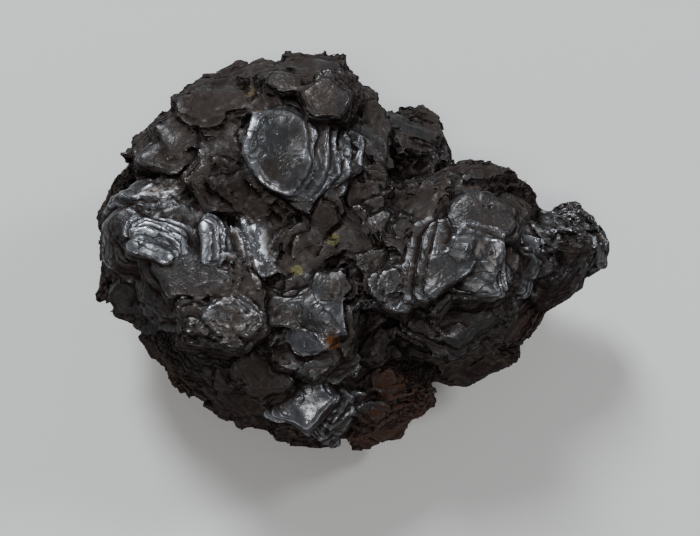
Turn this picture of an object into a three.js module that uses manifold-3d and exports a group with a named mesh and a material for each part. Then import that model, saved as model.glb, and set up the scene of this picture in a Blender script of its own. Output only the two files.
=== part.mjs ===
// A prophecy stone: a fist-shaped nodule of iron oxide, about 60 mm long, in which blocky
// crystals have grown together in every direction. Each crystal ends in a flat plate, and its
// sides go down from the plate in growth ledges. It is one natural solid.
//
// Frame, in millimetres: +Z is up, the stone rests on Z = 0, and its blunt snout points to +X.
// The origin is on the resting plane, under the middle of the stone.
import * as THREE from "three";
import { mergeVertices } from "three/addons/utils/BufferGeometryUtils.js";
import Module from "manifold-3d";

const wasm = await Module();
wasm.setup();

// How a crystal widens below its plate: by flare * depth ** WIDENING, so its sides steepen.
const WIDENING = 0.7;
// The ledges get taller with depth: ledge k lies at step * k ** LEDGE_GROWTH.
const LEDGE_GROWTH = 1.25;
const IRREGULAR = 0.07; // by what share a side of an outline stands nearer or further
const CUT_MARGIN = 40; // half the width of the blank that an outline is cut from
const REST_SIZE = 120; // width of the block that trims the stone flat where it rests

// What a crystal has unless its own line says otherwise: how many sides, how far its outline is
// turned in degrees, how it widens, by what share its treads are wider or narrower on each side,
// how its middle drifts per millimetre of depth, how tall its first ledge is, how many ledges
// show, how high its plate bulges, and how deep it goes.
const USUAL = {
  sides: 6, turn: 0, flare: 0.8, uneven: 0.8, drift: [0, 0], step: 0.7, ledges: 4, dome: 0.3, depth: 10,
};

// A crystal is given by the middle of its plate, where the plate looks (its azimuth from +X
// towards +Y and its rise above the horizon, in degrees), and how far the plate reaches level
// with the horizon and up its own slope.
const CRYSTALS = {
  // the crown, the high broad lobe
  crown: {
    at: [-6.8, 6.1, 28.2], looks: [270, 88], reach: [5.8, 6],
    sides: 8, turn: 12, flare: 0.8, step: 0.8, ledges: 2, depth: 13,
  },
  crown_top: {
    at: [-4.9, 12.5, 29.4], looks: [100, 84], reach: [4, 3],
    sides: 7, turn: 5, flare: 0.7, step: 0.6, ledges: 2, depth: 7,
  },
  crown_plate: {
    at: [-8.1, 4.8, 29.3], looks: [270, 86], reach: [3.2, 4.4],
    sides: 7, turn: 8, flare: 0.4, uneven: 0.5, drift: [2.7, 0], step: 0.26, ledges: 6, dome: 0, depth: 6,
  },
  crown_saddle: {
    at: [-10, 10.1, 28.7], looks: [190, 74], reach: [2, 1.5],
    sides: 5, flare: 0.8, step: 0.3, ledges: 3, dome: 0, depth: 6,
  },
  crown_facet: {
    at: [-10.6, 7.2, 28.5], looks: [172, 62], reach: [2.6, 1.5],
    sides: 5, flare: 0.4, step: 0.5, ledges: 1, depth: 5,
  },
  crown_knob: {
    at: [-7.6, 13.3, 30], looks: [110, 80], reach: [1.5, 1.9],
    sides: 5, turn: 15, flare: 0.5, step: 0.6, ledges: 2, depth: 5,
  },
  crown_ridge: {
    at: [-3.9, 10.8, 30.8], looks: [264, 84], reach: [2.3, 2.6],
    sides: 5, turn: -5, flare: 0.4, drift: [0.3, 0.5], step: 0.7, ledges: 2, depth: 5,
  },
  crown_back: {
    at: [-9.6, 17.3, 27], looks: [102, 56], reach: [3.4, 1.8],
    flare: 1, step: 0.5, ledges: 3, depth: 9,
  },
  crown_brow: {
    at: [-5, 17.6, 27.6], looks: [88, 56], reach: [3.4, 1.8],
    flare: 1, step: 0.5, ledges: 3, depth: 9,
  },
  crown_side: {
    at: [0, 15.6, 25.4], looks: [45, 50], reach: [2.8, 1.8],
    flare: 1, step: 0.5, ledges: 3, depth: 9,
  },
  crown_skirt: {
    at: [-10.5, 0.4, 27.6], looks: [258, 70], reach: [4.8, 1.2],
    flare: 0.8, step: 0.5, ledges: 2, depth: 7,
  },
  cheek: {
    at: [1.8, 9, 26.6], looks: [10, 66], reach: [4.6, 1.5],
    turn: 10, flare: 0.6, step: 0.6, ledges: 2, depth: 12,
  },
  // the north-west stair
  stair: {
    at: [-19.1, 8.3, 24.6], looks: [150, 80], reach: [5.3, 5],
    sides: 7, flare: 1, step: 0.7, ledges: 2, depth: 12,
  },
  stair_top: {
    at: [-15.3, 11.6, 28], looks: [122, 78], reach: [3.2, 2.6],
    sides: 5, turn: 14, flare: 1.1, uneven: 1.1, step: 0.35, ledges: 4, depth: 7,
  },
  stair_back: {
    at: [-14.9, 16.4, 25.4], looks: [118, 52], reach: [3.6, 2.2],
    flare: 1, step: 0.5, ledges: 3, depth: 9,
  },
  stair_middle: {
    at: [-18.4, 8.5, 26.9], looks: [264, 82], reach: [3.2, 1.8],
    sides: 4, turn: 32, flare: 0.4, step: 0.7, ledges: 2, depth: 6,
  },
  stair_finger: {
    at: [-20.2, 5.4, 25.9], looks: [268, 82], reach: [3.4, 1.1],
    sides: 6, turn: 12, flare: 0.4, step: 0.5, ledges: 2, dome: 0.2, depth: 6,
  },
  stair_ramp: {
    at: [-13.9, 5, 27.4], looks: [220, 74], reach: [3, 2.4],
    sides: 5, turn: 20, flare: 0.9, step: 0.4, ledges: 4, depth: 7,
  },
  ramp_foot: {
    at: [-14.3, 0.6, 26.4], looks: [246, 76], reach: [3.3, 1.1],
    sides: 5, turn: 10, flare: 0.8, step: 0.3, ledges: 4, dome: 0, depth: 7,
  },
  west_corner: {
    at: [-23.1, 11.3, 20.4], looks: [138, 44], reach: [3.2, 2.3],
    flare: 0.7, step: 0.6, ledges: 3,
  },
  west_wall: { at: [-27.5, 7.8, 18], looks: [158, 30], reach: [2.8, 3], step: 0.6, ledges: 3 },
  west_edge: { at: [-29.2, 3.6, 16], looks: [174, 20], reach: [2.6, 3.6], step: 0.6, ledges: 3 },
  // the west terrace, a broad crystal with two nests of ledges
  terrace: {
    at: [-19, -3.5, 25.4], looks: [84, 86], reach: [6.2, 5.4],
    sides: 8, turn: 14, flare: 1, step: 0.6, ledges: 2, depth: 11,
  },
  terrace_left: {
    at: [-22, -7.2, 27.3], looks: [240, 88], reach: [2.6, 0.8],
    sides: 6, turn: 30, flare: 0.6, drift: [0, 2.2], step: 0.24, ledges: 7, dome: 0, depth: 5,
  },
  terrace_right: {
    at: [-16, -6, 27.2], looks: [185, 88], reach: [2.6, 0.7],
    sides: 6, turn: 30, flare: 0.6, drift: [0, 2.3], step: 0.24, ledges: 7, dome: 0, depth: 5,
  },
  terrace_facet: {
    at: [-25, -4.7, 24.4], looks: [204, 52], reach: [3.4, 2],
    flare: 0.6, step: 0.4, ledges: 3, depth: 8,
  },
  terrace_band: {
    at: [-21, 2.1, 25], looks: [96, 66], reach: [4, 1.3],
    flare: 0.6, step: 0.4, ledges: 3, depth: 6,
  },
  west_front: { at: [-29.1, -1.6, 15], looks: [186, 16], reach: [2.8, 3.8], step: 0.6, ledges: 3 },
  throat: {
    at: [-9.2, -4.5, 25.9], looks: [-2, 62], reach: [3.4, 1.4],
    sides: 7, flare: 0.6, step: 0.3, ledges: 3, dome: 0, depth: 6,
  },
  throat_block: {
    at: [-7, -2.1, 25.9], looks: [330, 78], reach: [2, 2],
    sides: 5, flare: 0.4, step: 0.5, ledges: 2, depth: 6,
  },
  // the south-west boss and the layers under it
  boss: {
    at: [-14.2, -12.3, 26.2], looks: [262, 82], reach: [5.3, 4.3],
    sides: 7, turn: 8, flare: 0.4, step: 0.6, ledges: 3, dome: 0.2, depth: 12,
  },
  boss_nest: {
    at: [-12.9, -13.8, 26.5], looks: [264, 78], reach: [2.6, 1.1],
    sides: 7, turn: 15, flare: 1, drift: [0.3, -1.1], step: 0.22, ledges: 5, dome: 0, depth: 5,
  },
  boss_facet: {
    at: [-18.4, -11.9, 25.2], looks: [200, 58], reach: [2.4, 1.2],
    flare: 0.5, step: 0.4, ledges: 2, depth: 6,
  },
  boss_shelf: {
    at: [-20.8, -11.2, 23.6], looks: [228, 62], reach: [2, 2],
    flare: 0.8, step: 0.35, ledges: 3, depth: 7,
  },
  boss_step: {
    at: [-17.3, -9.2, 26.7], looks: [266, 86], reach: [4.4, 1.6],
    sides: 5, flare: 0.5, step: 0.5, ledges: 2, depth: 6,
  },
  boss_flank: {
    at: [-24.5, -9.1, 20], looks: [214, 50], reach: [2.8, 2],
    flare: 1, step: 0.5, ledges: 3, depth: 9,
  },
  boss_foot: {
    at: [-21.8, -12.3, 11], looks: [228, 22], reach: [3.6, 3],
    flare: 0.8, step: 0.6, ledges: 3, depth: 10,
  },
  south_brow: {
    at: [-14.3, -16.3, 18.6], looks: [252, 48], reach: [4.2, 1.5],
    flare: 1, step: 0.45, ledges: 3, depth: 9,
  },
  south_layers: {
    at: [-12.4, -17.3, 14], looks: [254, 38], reach: [5.6, 2.2],
    flare: 1, step: 0.5, ledges: 3, depth: 11,
  },
  south_foot: {
    at: [-11.7, -18, 6.5], looks: [257, -6], reach: [6.2, 3.4],
    flare: 0.6, ledges: 2, depth: 11,
  },
  // the south cluster
  cluster: {
    at: [-5.1, -14.3, 24.4], looks: [264, 74], reach: [4.6, 4.8],
    sides: 7, flare: 1, step: 0.5, ledges: 2, depth: 12,
  },
  cluster_column: {
    at: [-6.5, -12.6, 25.6], looks: [264, 80], reach: [2.1, 1.7],
    sides: 4, turn: 8, flare: 0.15, step: 0.5, ledges: 2, depth: 5,
  },
  cluster_head: {
    at: [-2.8, -10, 26], looks: [272, 82], reach: [1.7, 1.6],
    sides: 4, turn: -6, flare: 0.15, step: 0.5, ledges: 2, depth: 5,
  },
  cluster_post: {
    at: [-2.4, -13.6, 25.4], looks: [276, 80], reach: [1.4, 1.9],
    sides: 4, turn: 4, flare: 0.15, step: 0.5, ledges: 2, depth: 5,
  },
  cluster_glint: {
    at: [-4.7, -15.9, 24.6], looks: [252, 62], reach: [2.1, 1],
    sides: 5, turn: 10, flare: 0.3, step: 0.5, ledges: 1, depth: 5,
  },
  cluster_cheek: {
    at: [-10.1, -17.5, 21.8], looks: [250, 60], reach: [3.2, 2.4],
    flare: 1, step: 0.5, ledges: 2, depth: 7,
  },
  cluster_step: {
    at: [-2.4, -17, 21.8], looks: [286, 62], reach: [2.3, 1.2],
    sides: 5, flare: 0.7, step: 0.4, ledges: 2, depth: 6,
  },
  cluster_mirror: {
    at: [-5.9, -19.9, 19], looks: [266, 62], reach: [2.8, 2.6],
    sides: 5, turn: 30, flare: 0.5, uneven: 0.4, step: 0.45, ledges: 3, dome: 0.3, depth: 8,
  },
  cluster_lip: {
    at: [-2.3, -20.4, 14.8], looks: [280, 48], reach: [2.7, 2.2],
    sides: 7, flare: 0.7, step: 0.4, ledges: 3, depth: 8,
  },
  cluster_foot: {
    at: [-5.1, -20.7, 9], looks: [268, 8], reach: [4, 3],
    flare: 0.6, ledges: 2, depth: 11,
  },
  rust_lobe: {
    at: [4, -18.6, 14.4], looks: [295, 52], reach: [3.2, 2.8],
    sides: 7, flare: 1.1, step: 0.45, ledges: 4, dome: 0.8, depth: 11,
  },
  rust_foot: {
    at: [3.9, -20.6, 8], looks: [285, 10], reach: [4, 3],
    sides: 7, flare: 0.8, step: 0.5, ledges: 3, depth: 10,
  },
  cluster_gap: {
    at: [0, -11.9, 22.8], looks: [296, 62], reach: [2, 1.5],
    flare: 0.9, step: 0.35, ledges: 4, depth: 7,
  },
  cluster_hollow: {
    at: [1.9, -13.7, 19.6], looks: [282, 58], reach: [2.2, 1.6],
    flare: 0.9, step: 0.35, ledges: 4, depth: 7,
  },
  rust_wart: {
    at: [1.3, -15.5, 18.8], looks: [285, 62], reach: [1.4, 1.3],
    sides: 5, flare: 0.6, step: 0.4, ledges: 2, depth: 5,
  },
  // the valley between the crown and the east block
  valley_plate: {
    at: [-3.8, -1.6, 27], looks: [258, 62], reach: [2.2, 2.1],
    sides: 6, turn: 18, flare: 0.5, step: 0.6, ledges: 2, depth: 6,
  },
  valley_west: {
    at: [-5.6, -6.9, 25.4], looks: [300, 74], reach: [3.2, 2],
    flare: 1, step: 0.4, ledges: 3, depth: 6,
  },
  valley_fold: {
    at: [-5, -4.5, 25.9], looks: [312, 62], reach: [2.6, 0.8],
    sides: 6, turn: 10, flare: 0.9, step: 0.25, ledges: 5, dome: 0, depth: 6,
  },
  valley_rib: {
    at: [-2.6, -5.9, 25.2], looks: [306, 66], reach: [2, 0.7],
    sides: 6, turn: 20, flare: 0.9, step: 0.3, ledges: 4, dome: 0, depth: 6,
  },
  valley_east: {
    at: [0, -4, 26], looks: [230, 72], reach: [3, 2.2],
    sides: 5, flare: 0.9, step: 0.3, ledges: 5, dome: 0, depth: 6,
  },
  valley_head: {
    at: [1.1, 0.6, 26.4], looks: [250, 72], reach: [2.6, 1.6],
    flare: 0.9, step: 0.3, ledges: 4, dome: 0.1, depth: 6,
  },
  // the east block
  block: {
    at: [11.4, -4.7, 26.4], looks: [270, 87], reach: [6, 5.8],
    sides: 8, turn: 10, flare: 0.9, step: 0.8, ledges: 2, depth: 12,
  },
  block_onion: {
    at: [3.8, -9.7, 26.8], looks: [245, 82], reach: [1.1, 1.3],
    sides: 7, turn: 8, flare: 1.4, uneven: 0.5, step: 0.28, ledges: 6, dome: 0, depth: 8,
  },
  block_steps: {
    at: [9.2, -7.5, 27.4], looks: [262, 86], reach: [1.2, 5],
    sides: 5, turn: 36, flare: 0.4, drift: [-2.3, 0], step: 0.32, ledges: 5, dome: 0, depth: 6,
  },
  block_table: {
    at: [14.3, -2.6, 28.2], looks: [80, 84], reach: [4.3, 2.4],
    sides: 7, turn: 10, flare: 0.4, step: 0.5, ledges: 3, depth: 6,
  },
  block_mirror: {
    at: [12.7, -8.1, 27.1], looks: [254, 58], reach: [2.9, 3.6],
    sides: 5, turn: 10, flare: 0.5, step: 0.4, ledges: 3, dome: 0.2, depth: 7,
  },
  block_back: {
    at: [12.7, 4.1, 24.6], looks: [98, 56], reach: [5, 2.2],
    flare: 0.9, step: 0.5, ledges: 3, depth: 10,
  },
  block_nape: {
    at: [6.5, 0.1, 26], looks: [126, 68], reach: [4.6, 1.7],
    flare: 1.2, step: 0.4, ledges: 4, depth: 7,
  },
  block_brow: {
    at: [3.6, -3.9, 26.8], looks: [235, 80], reach: [2.7, 1.7],
    sides: 5, flare: 0.6, step: 0.4, ledges: 2, depth: 6,
  },
  // the snout
  snout_root: {
    at: [17.4, -6.3, 22.4], looks: [300, 58], reach: [2.6, 2.8],
    sides: 6, turn: 12, flare: 0.6, step: 0.5, ledges: 2, depth: 7,
  },
  root_glint: {
    at: [19.7, -2.8, 22], looks: [258, 64], reach: [0.9, 0.9],
    sides: 5, turn: 20, flare: 0.5, step: 0.3, ledges: 2, dome: 0, depth: 4,
  },
  snout_ridge: {
    at: [22.5, -4.2, 19.4], looks: [284, 50], reach: [3.8, 2.7],
    sides: 6, turn: 8, flare: 0.5, step: 0.5, ledges: 1, depth: 6,
  },
  snout_top: {
    at: [23.1, 0.6, 20.4], looks: [78, 54], reach: [4.6, 2],
    sides: 6, turn: -6, flare: 0.5, step: 0.5, ledges: 1, depth: 7,
  },
  snout: {
    at: [28.6, 0.1, 17.2], looks: [350, 50], reach: [1.6, 1.4],
    sides: 6, turn: 30, flare: 0.7, step: 0.35, ledges: 2, dome: 0.3, depth: 6,
  },
  snout_glint: {
    at: [26.7, -0.1, 18.2], looks: [266, 66], reach: [1.2, 0.6],
    sides: 5, flare: 0.4, step: 0.3, ledges: 2, dome: 0, depth: 4,
  },
  // the layers under the east block
  belly: {
    at: [10.9, -12.1, 21], looks: [280, 56], reach: [6, 1.6],
    flare: 0.9, step: 0.5, ledges: 3, depth: 9,
  },
  belly_band: {
    at: [10.3, -13.5, 16], looks: [277, 38], reach: [5.6, 1.7],
    flare: 0.8, step: 0.5, ledges: 3, depth: 11,
  },
  belly_foot: {
    at: [14.1, -14, 9.2], looks: [284, 22], reach: [4.3, 2.7],
    flare: 0.7, step: 0.6, ledges: 3, depth: 10,
  },
  belly_east: {
    at: [19, -9, 15.6], looks: [318, 36], reach: [4.4, 3.4],
    flare: 0.8, step: 0.5, ledges: 2, depth: 10,
  },
  // the shoulder between the crown and the east block
  shoulder: {
    at: [7.2, 12.6, 21], looks: [52, 54], reach: [3.3, 2.7],
    flare: 1, step: 0.5, ledges: 3, depth: 12,
  },
  shoulder_plate: {
    at: [7.3, 7.4, 21.4], looks: [268, 70], reach: [2.5, 1.8],
    sides: 5, turn: 15, flare: 0.7, step: 0.5, ledges: 2, depth: 7,
  },
  // the north and east walls
  north_west: { at: [-13.3, 20.2, 15], looks: [108, 8], reach: [5, 5], ledges: 3, depth: 13 },
  north: { at: [-3.7, 21.6, 13], looks: [88, 5], reach: [4.8, 4.8], turn: 15, ledges: 3, depth: 13 },
  north_east: { at: [4.1, 16.6, 10.4], looks: [60, 0], reach: [4.6, 4.2], ledges: 2, depth: 12 },
  east_wall: { at: [14.9, 8, 10.4], looks: [76, 2], reach: [5.6, 4.2], turn: 12, ledges: 2, depth: 10 },
  under_snout: { at: [20.6, -0.4, 8.6], looks: [350, -18], reach: [4, 3], ledges: 1, depth: 10 },
  west_low: { at: [-27.7, 3.2, 8.6], looks: [172, -8], reach: [4.6, 3.4], ledges: 2 },
  west_low_corner: {
    at: [-23.7, 13, 9], looks: [140, -5], reach: [5, 4.2],
    turn: 10, ledges: 2, depth: 12,
  },
  west_low_front: { at: [-25.1, -5.8, 9.4], looks: [200, -8], reach: [4.2, 3.4], ledges: 2 },
  // the underside
  sole: {
    at: [-6.7, 0.7, 0], looks: [270, -90], reach: [8, 8.4],
    sides: 7, flare: 1, ledges: 2, dome: 0, depth: 12,
  },
  sole_east: {
    at: [9.7, -3.8, 0.5], looks: [330, -82], reach: [5.6, 5],
    sides: 7, ledges: 2, depth: 10,
  },
  sole_west: { at: [-18.3, -5.8, 2.6], looks: [200, -56], reach: [5, 4.6], ledges: 1 },
  sole_north_west: { at: [-16.1, 10.6, 2.4], looks: [138, -58], reach: [5, 5], turn: 15, ledges: 1 },
  sole_south: { at: [-2.3, -15.4, 2.2], looks: [270, -60], reach: [5, 4.4], ledges: 1 },
  sole_north: { at: [0.3, 12.8, 2.4], looks: [75, -58], reach: [5, 4.4], turn: 10, ledges: 1 },
  sole_snout: { at: [17.7, -3.4, 3], looks: [5, -52], reach: [4.6, 4], ledges: 1 },
};

// The lumps of massive ore that the crystals grow from, by middle and half-width.
const LUMPS = {
  core: { at: [-5, -1.2, 14.6], half: [17.6, 13.2, 10] },
  crown: { at: [-6.3, 8, 17.8], half: [8.8, 9, 10.1] },
  stair: { at: [-17, 7.6, 14.8], half: [9.6, 9.2, 10] },
  terrace: { at: [-17.8, -3, 13.8], half: [10, 8.4, 11.2] },
  boss: { at: [-14, -10, 12.8], half: [8, 7, 12.2] },
  cluster: { at: [-3.8, -11.2, 12.4], half: [7.2, 7.4, 11.8] },
  valley: { at: [-1.4, -2.9, 14], half: [8.8, 8.6, 11] },
  saddle: { at: [2.4, -1.4, 21.2], half: [3.2, 3.2, 3.6] },
  block: { at: [11, -1.6, 14.8], half: [9.8, 9.2, 11] },
  bridge: { at: [5.4, -9.7, 19], half: [3.2, 2.6, 3.6] },
  snout: { at: [19.4, -1.2, 14.8], half: [8.4, 6.2, 7.4] },
  snout_middle: { at: [22.8, 0, 14.9], half: [6.2, 4.7, 5.6] },
  snout_tip: { at: [26.4, 1.3, 14.9], half: [3.9, 3.1, 3.5] },
  belly: { at: [13.8, -6.4, 10.4], half: [7.6, 6.2, 8] },
  shoulder: { at: [7.6, 9.6, 13], half: [4.4, 5, 8] },
  rust_lobe: { at: [4.4, -14.6, 9.4], half: [4.6, 4.6, 6.4] },
};
const LUMP_DETAIL = 2; // how many times the faces of a lump's icosahedron are divided

// Angles that keep neighbouring crystals, sides and ledges from repeating one another.
const STRAY = { crystal: 2.4, side: 5.1, ledge: 1.3 };

// A fixed irregularity between -1 and 1 for a side of ledge number k of crystal number index.
function wobble(index, side, k = 0) {
  return Math.sin(index * STRAY.crystal + side * STRAY.side + k * STRAY.ledge);
}

// How far the rim of ledge number k stands outside the plate's own rim.
function spreadOfLedge(crystal, k) {
  const depth = crystal.step * (k + 0.5) ** LEDGE_GROWTH;
  return crystal.flare * Math.max(depth - crystal.dome, 0) ** WIDENING;
}

// The part of a convex outline that lies within reach of the origin along direction.
function trimmed(outline, direction, reach) {
  const kept = [];
  outline.forEach((from, i) => {
    const to = outline[(i + 1) % outline.length];
    const before = from.dot(direction) - reach;
    const after = to.dot(direction) - reach;
    if (before <= 0) kept.push(from);
    if (before * after < 0) kept.push(from.clone().lerp(to, before / (before - after)));
  });
  return kept;
}

// The convex outline of ledge number k of a crystal.
function outline(crystal, index, k) {
  const [level, up] = crystal.reach;
  const spread = spreadOfLedge(crystal, k);
  let points = [[-1, -1], [1, -1], [1, 1], [-1, 1]].map(([x, y]) => new THREE.Vector2(x, y));
  points.forEach((p) => p.multiplyScalar(CUT_MARGIN));
  for (let side = 0; side < crystal.sides; side++) {
    const angle = THREE.MathUtils.degToRad(crystal.turn + (360 * side) / crystal.sides);
    const direction = new THREE.Vector2(Math.cos(angle), Math.sin(angle));
    const rim = Math.hypot(level * direction.x, up * direction.y) * (1 + IRREGULAR * wobble(index, side));
    points = trimmed(points, direction, rim + spread * (1 + crystal.uneven * wobble(index, side, k + 1)));
  }
  return points;
}

// The frame of a crystal: X level, Y up the slope of its plate, and Z the way the plate looks.
function placed(crystal) {
  const [azimuth, rise] = crystal.looks.map(THREE.MathUtils.degToRad);
  const level = new THREE.Vector3(-Math.sin(azimuth), Math.cos(azimuth), 0);
  const out = new THREE.Vector3(
    Math.cos(azimuth) * Math.cos(rise),
    Math.sin(azimuth) * Math.cos(rise),
    Math.sin(rise),
  );
  const up = new THREE.Vector3().crossVectors(out, level);
  return new THREE.Matrix4().makeBasis(level, up, out).setPosition(...crystal.at);
}

// A closed three.js geometry as a solid.
function solidOf(geometry) {
  const bare = geometry.clone();
  bare.deleteAttribute("normal");
  bare.deleteAttribute("uv");
  const merged = mergeVertices(bare);
  const vertProperties = merged.attributes.position.array;
  const triVerts = new Uint32Array(merged.index.array);
  return new wasm.Manifold(new wasm.Mesh({ numProp: 3, vertProperties, triVerts }));
}

// A crystal as solids: one prism below each ledge, each wider than the one above it.
function ledgesOf(crystal, index) {
  const prisms = [];
  for (let k = 0; k < crystal.ledges; k++) {
    const top = crystal.step * k ** LEDGE_GROWTH;
    const shape = new THREE.Shape(outline(crystal, index, k));
    const prism = new THREE.ExtrudeGeometry(shape, { depth: crystal.depth - top, bevelEnabled: false });
    prism.translate(crystal.drift[0] * top, crystal.drift[1] * top, -crystal.depth);
    prisms.push(solidOf(prism.applyMatrix4(placed(crystal))));
  }
  return prisms;
}

function lumpOf(lump) {
  const geometry = new THREE.IcosahedronGeometry(1, LUMP_DETAIL);
  return solidOf(geometry.scale(...lump.half).translate(...lump.at));
}

// Everything below the resting plane.
function underground() {
  return solidOf(new THREE.BoxGeometry(REST_SIZE, REST_SIZE, REST_SIZE).translate(0, 0, -REST_SIZE / 2));
}

function geometryOf(solid) {
  const { numProp, vertProperties, triVerts } = solid.getMesh();
  const positions = new THREE.InterleavedBuffer(vertProperties, numProp);
  const geometry = new THREE.BufferGeometry();
  geometry.setAttribute("position", new THREE.InterleavedBufferAttribute(positions, 3, 0));
  geometry.setIndex(new THREE.BufferAttribute(triVerts, 1));
  const flat = geometry.toNonIndexed();
  flat.computeVertexNormals();
  return flat;
}

function stoneSolid() {
  const crystals = Object.values(CRYSTALS).map((own) => ({ ...USUAL, ...own }));
  const pieces = [...Object.values(LUMPS).map(lumpOf), ...crystals.flatMap(ledgesOf)];
  return pieces.reduce((whole, piece) => whole.add(piece)).subtract(underground());
}

const IRON_OXIDE = new THREE.MeshStandardMaterial({ color: 0x594f4a, roughness: 0.38, metalness: 0.6 });

const stone = new THREE.Mesh(geometryOf(stoneSolid()), IRON_OXIDE);
stone.name = "prophecy_stone";

const part = new THREE.Group();
part.add(stone);

export default part;
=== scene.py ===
"""The looks of a prophecy stone, a nodule of iron oxide in ledged, grown-together crystals.

The stone is made as a distance field. Each crystal adds its ledges to the field, slow noise bends
them, and a net of faces is laid where the field is zero. The crystals are those of the solid model,
in millimetres; everything that Blender gets is in metres.
"""

import math

import bpy
import numpy as np
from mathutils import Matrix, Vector


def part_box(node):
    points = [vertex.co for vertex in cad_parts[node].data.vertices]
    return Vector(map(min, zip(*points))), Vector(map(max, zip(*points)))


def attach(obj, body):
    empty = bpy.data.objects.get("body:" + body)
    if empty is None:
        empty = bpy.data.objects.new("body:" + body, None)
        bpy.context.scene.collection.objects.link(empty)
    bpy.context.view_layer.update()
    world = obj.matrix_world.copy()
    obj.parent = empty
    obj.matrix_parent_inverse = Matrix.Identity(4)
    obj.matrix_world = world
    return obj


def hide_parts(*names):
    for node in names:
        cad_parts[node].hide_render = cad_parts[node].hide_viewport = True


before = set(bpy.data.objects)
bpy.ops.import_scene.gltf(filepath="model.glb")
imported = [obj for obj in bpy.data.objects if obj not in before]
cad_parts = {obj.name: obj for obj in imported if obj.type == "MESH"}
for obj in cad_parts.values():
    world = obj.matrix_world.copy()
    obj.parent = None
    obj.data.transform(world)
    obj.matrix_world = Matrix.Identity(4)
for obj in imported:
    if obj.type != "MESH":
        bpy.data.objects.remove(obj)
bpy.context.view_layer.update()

MM = 0.001

# ---------------------------------------------------------------- the crystals

# How a crystal widens below its plate, how its ledges get taller with depth, and by what share a
# side of its outline stands nearer or further.
WIDENING = 0.7
LEDGE_GROWTH = 1.25
IRREGULAR = 0.07
# Angles that keep neighbouring crystals, sides and ledges from repeating one another.
STRAY = (2.4, 5.1, 1.3)

# What a crystal has unless its own line says otherwise: the sides of its outline and how far it is
# turned, how it widens, by what share its treads are wider or narrower on each side, how its middle
# drifts per millimetre of depth, the height of its first ledge, how many ledges show, how high its
# plate bulges, how deep it goes, how dull it is, how rusty, how strong the growth hills and layers
# are on it, and how many small crystals grow on its rim.
USUAL = {
    "sides": 6, "turn": 0, "flare": 0.8, "uneven": 0.8, "drift": (0, 0), "step": 0.7, "ledges": 4,
    "dome": 0.3, "depth": 10, "dull": 0.3, "rust": 0, "hills": 1, "buds": 4,
}


def crystal(at, looks, reach, **own):
    """A crystal by the middle of its plate, where the plate looks (its azimuth from +X towards +Y
    and its rise above the horizon, in degrees), and how far the plate reaches level with the
    horizon and up its own slope."""
    return {"at": at, "looks": looks, "reach": reach, **own}


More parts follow.
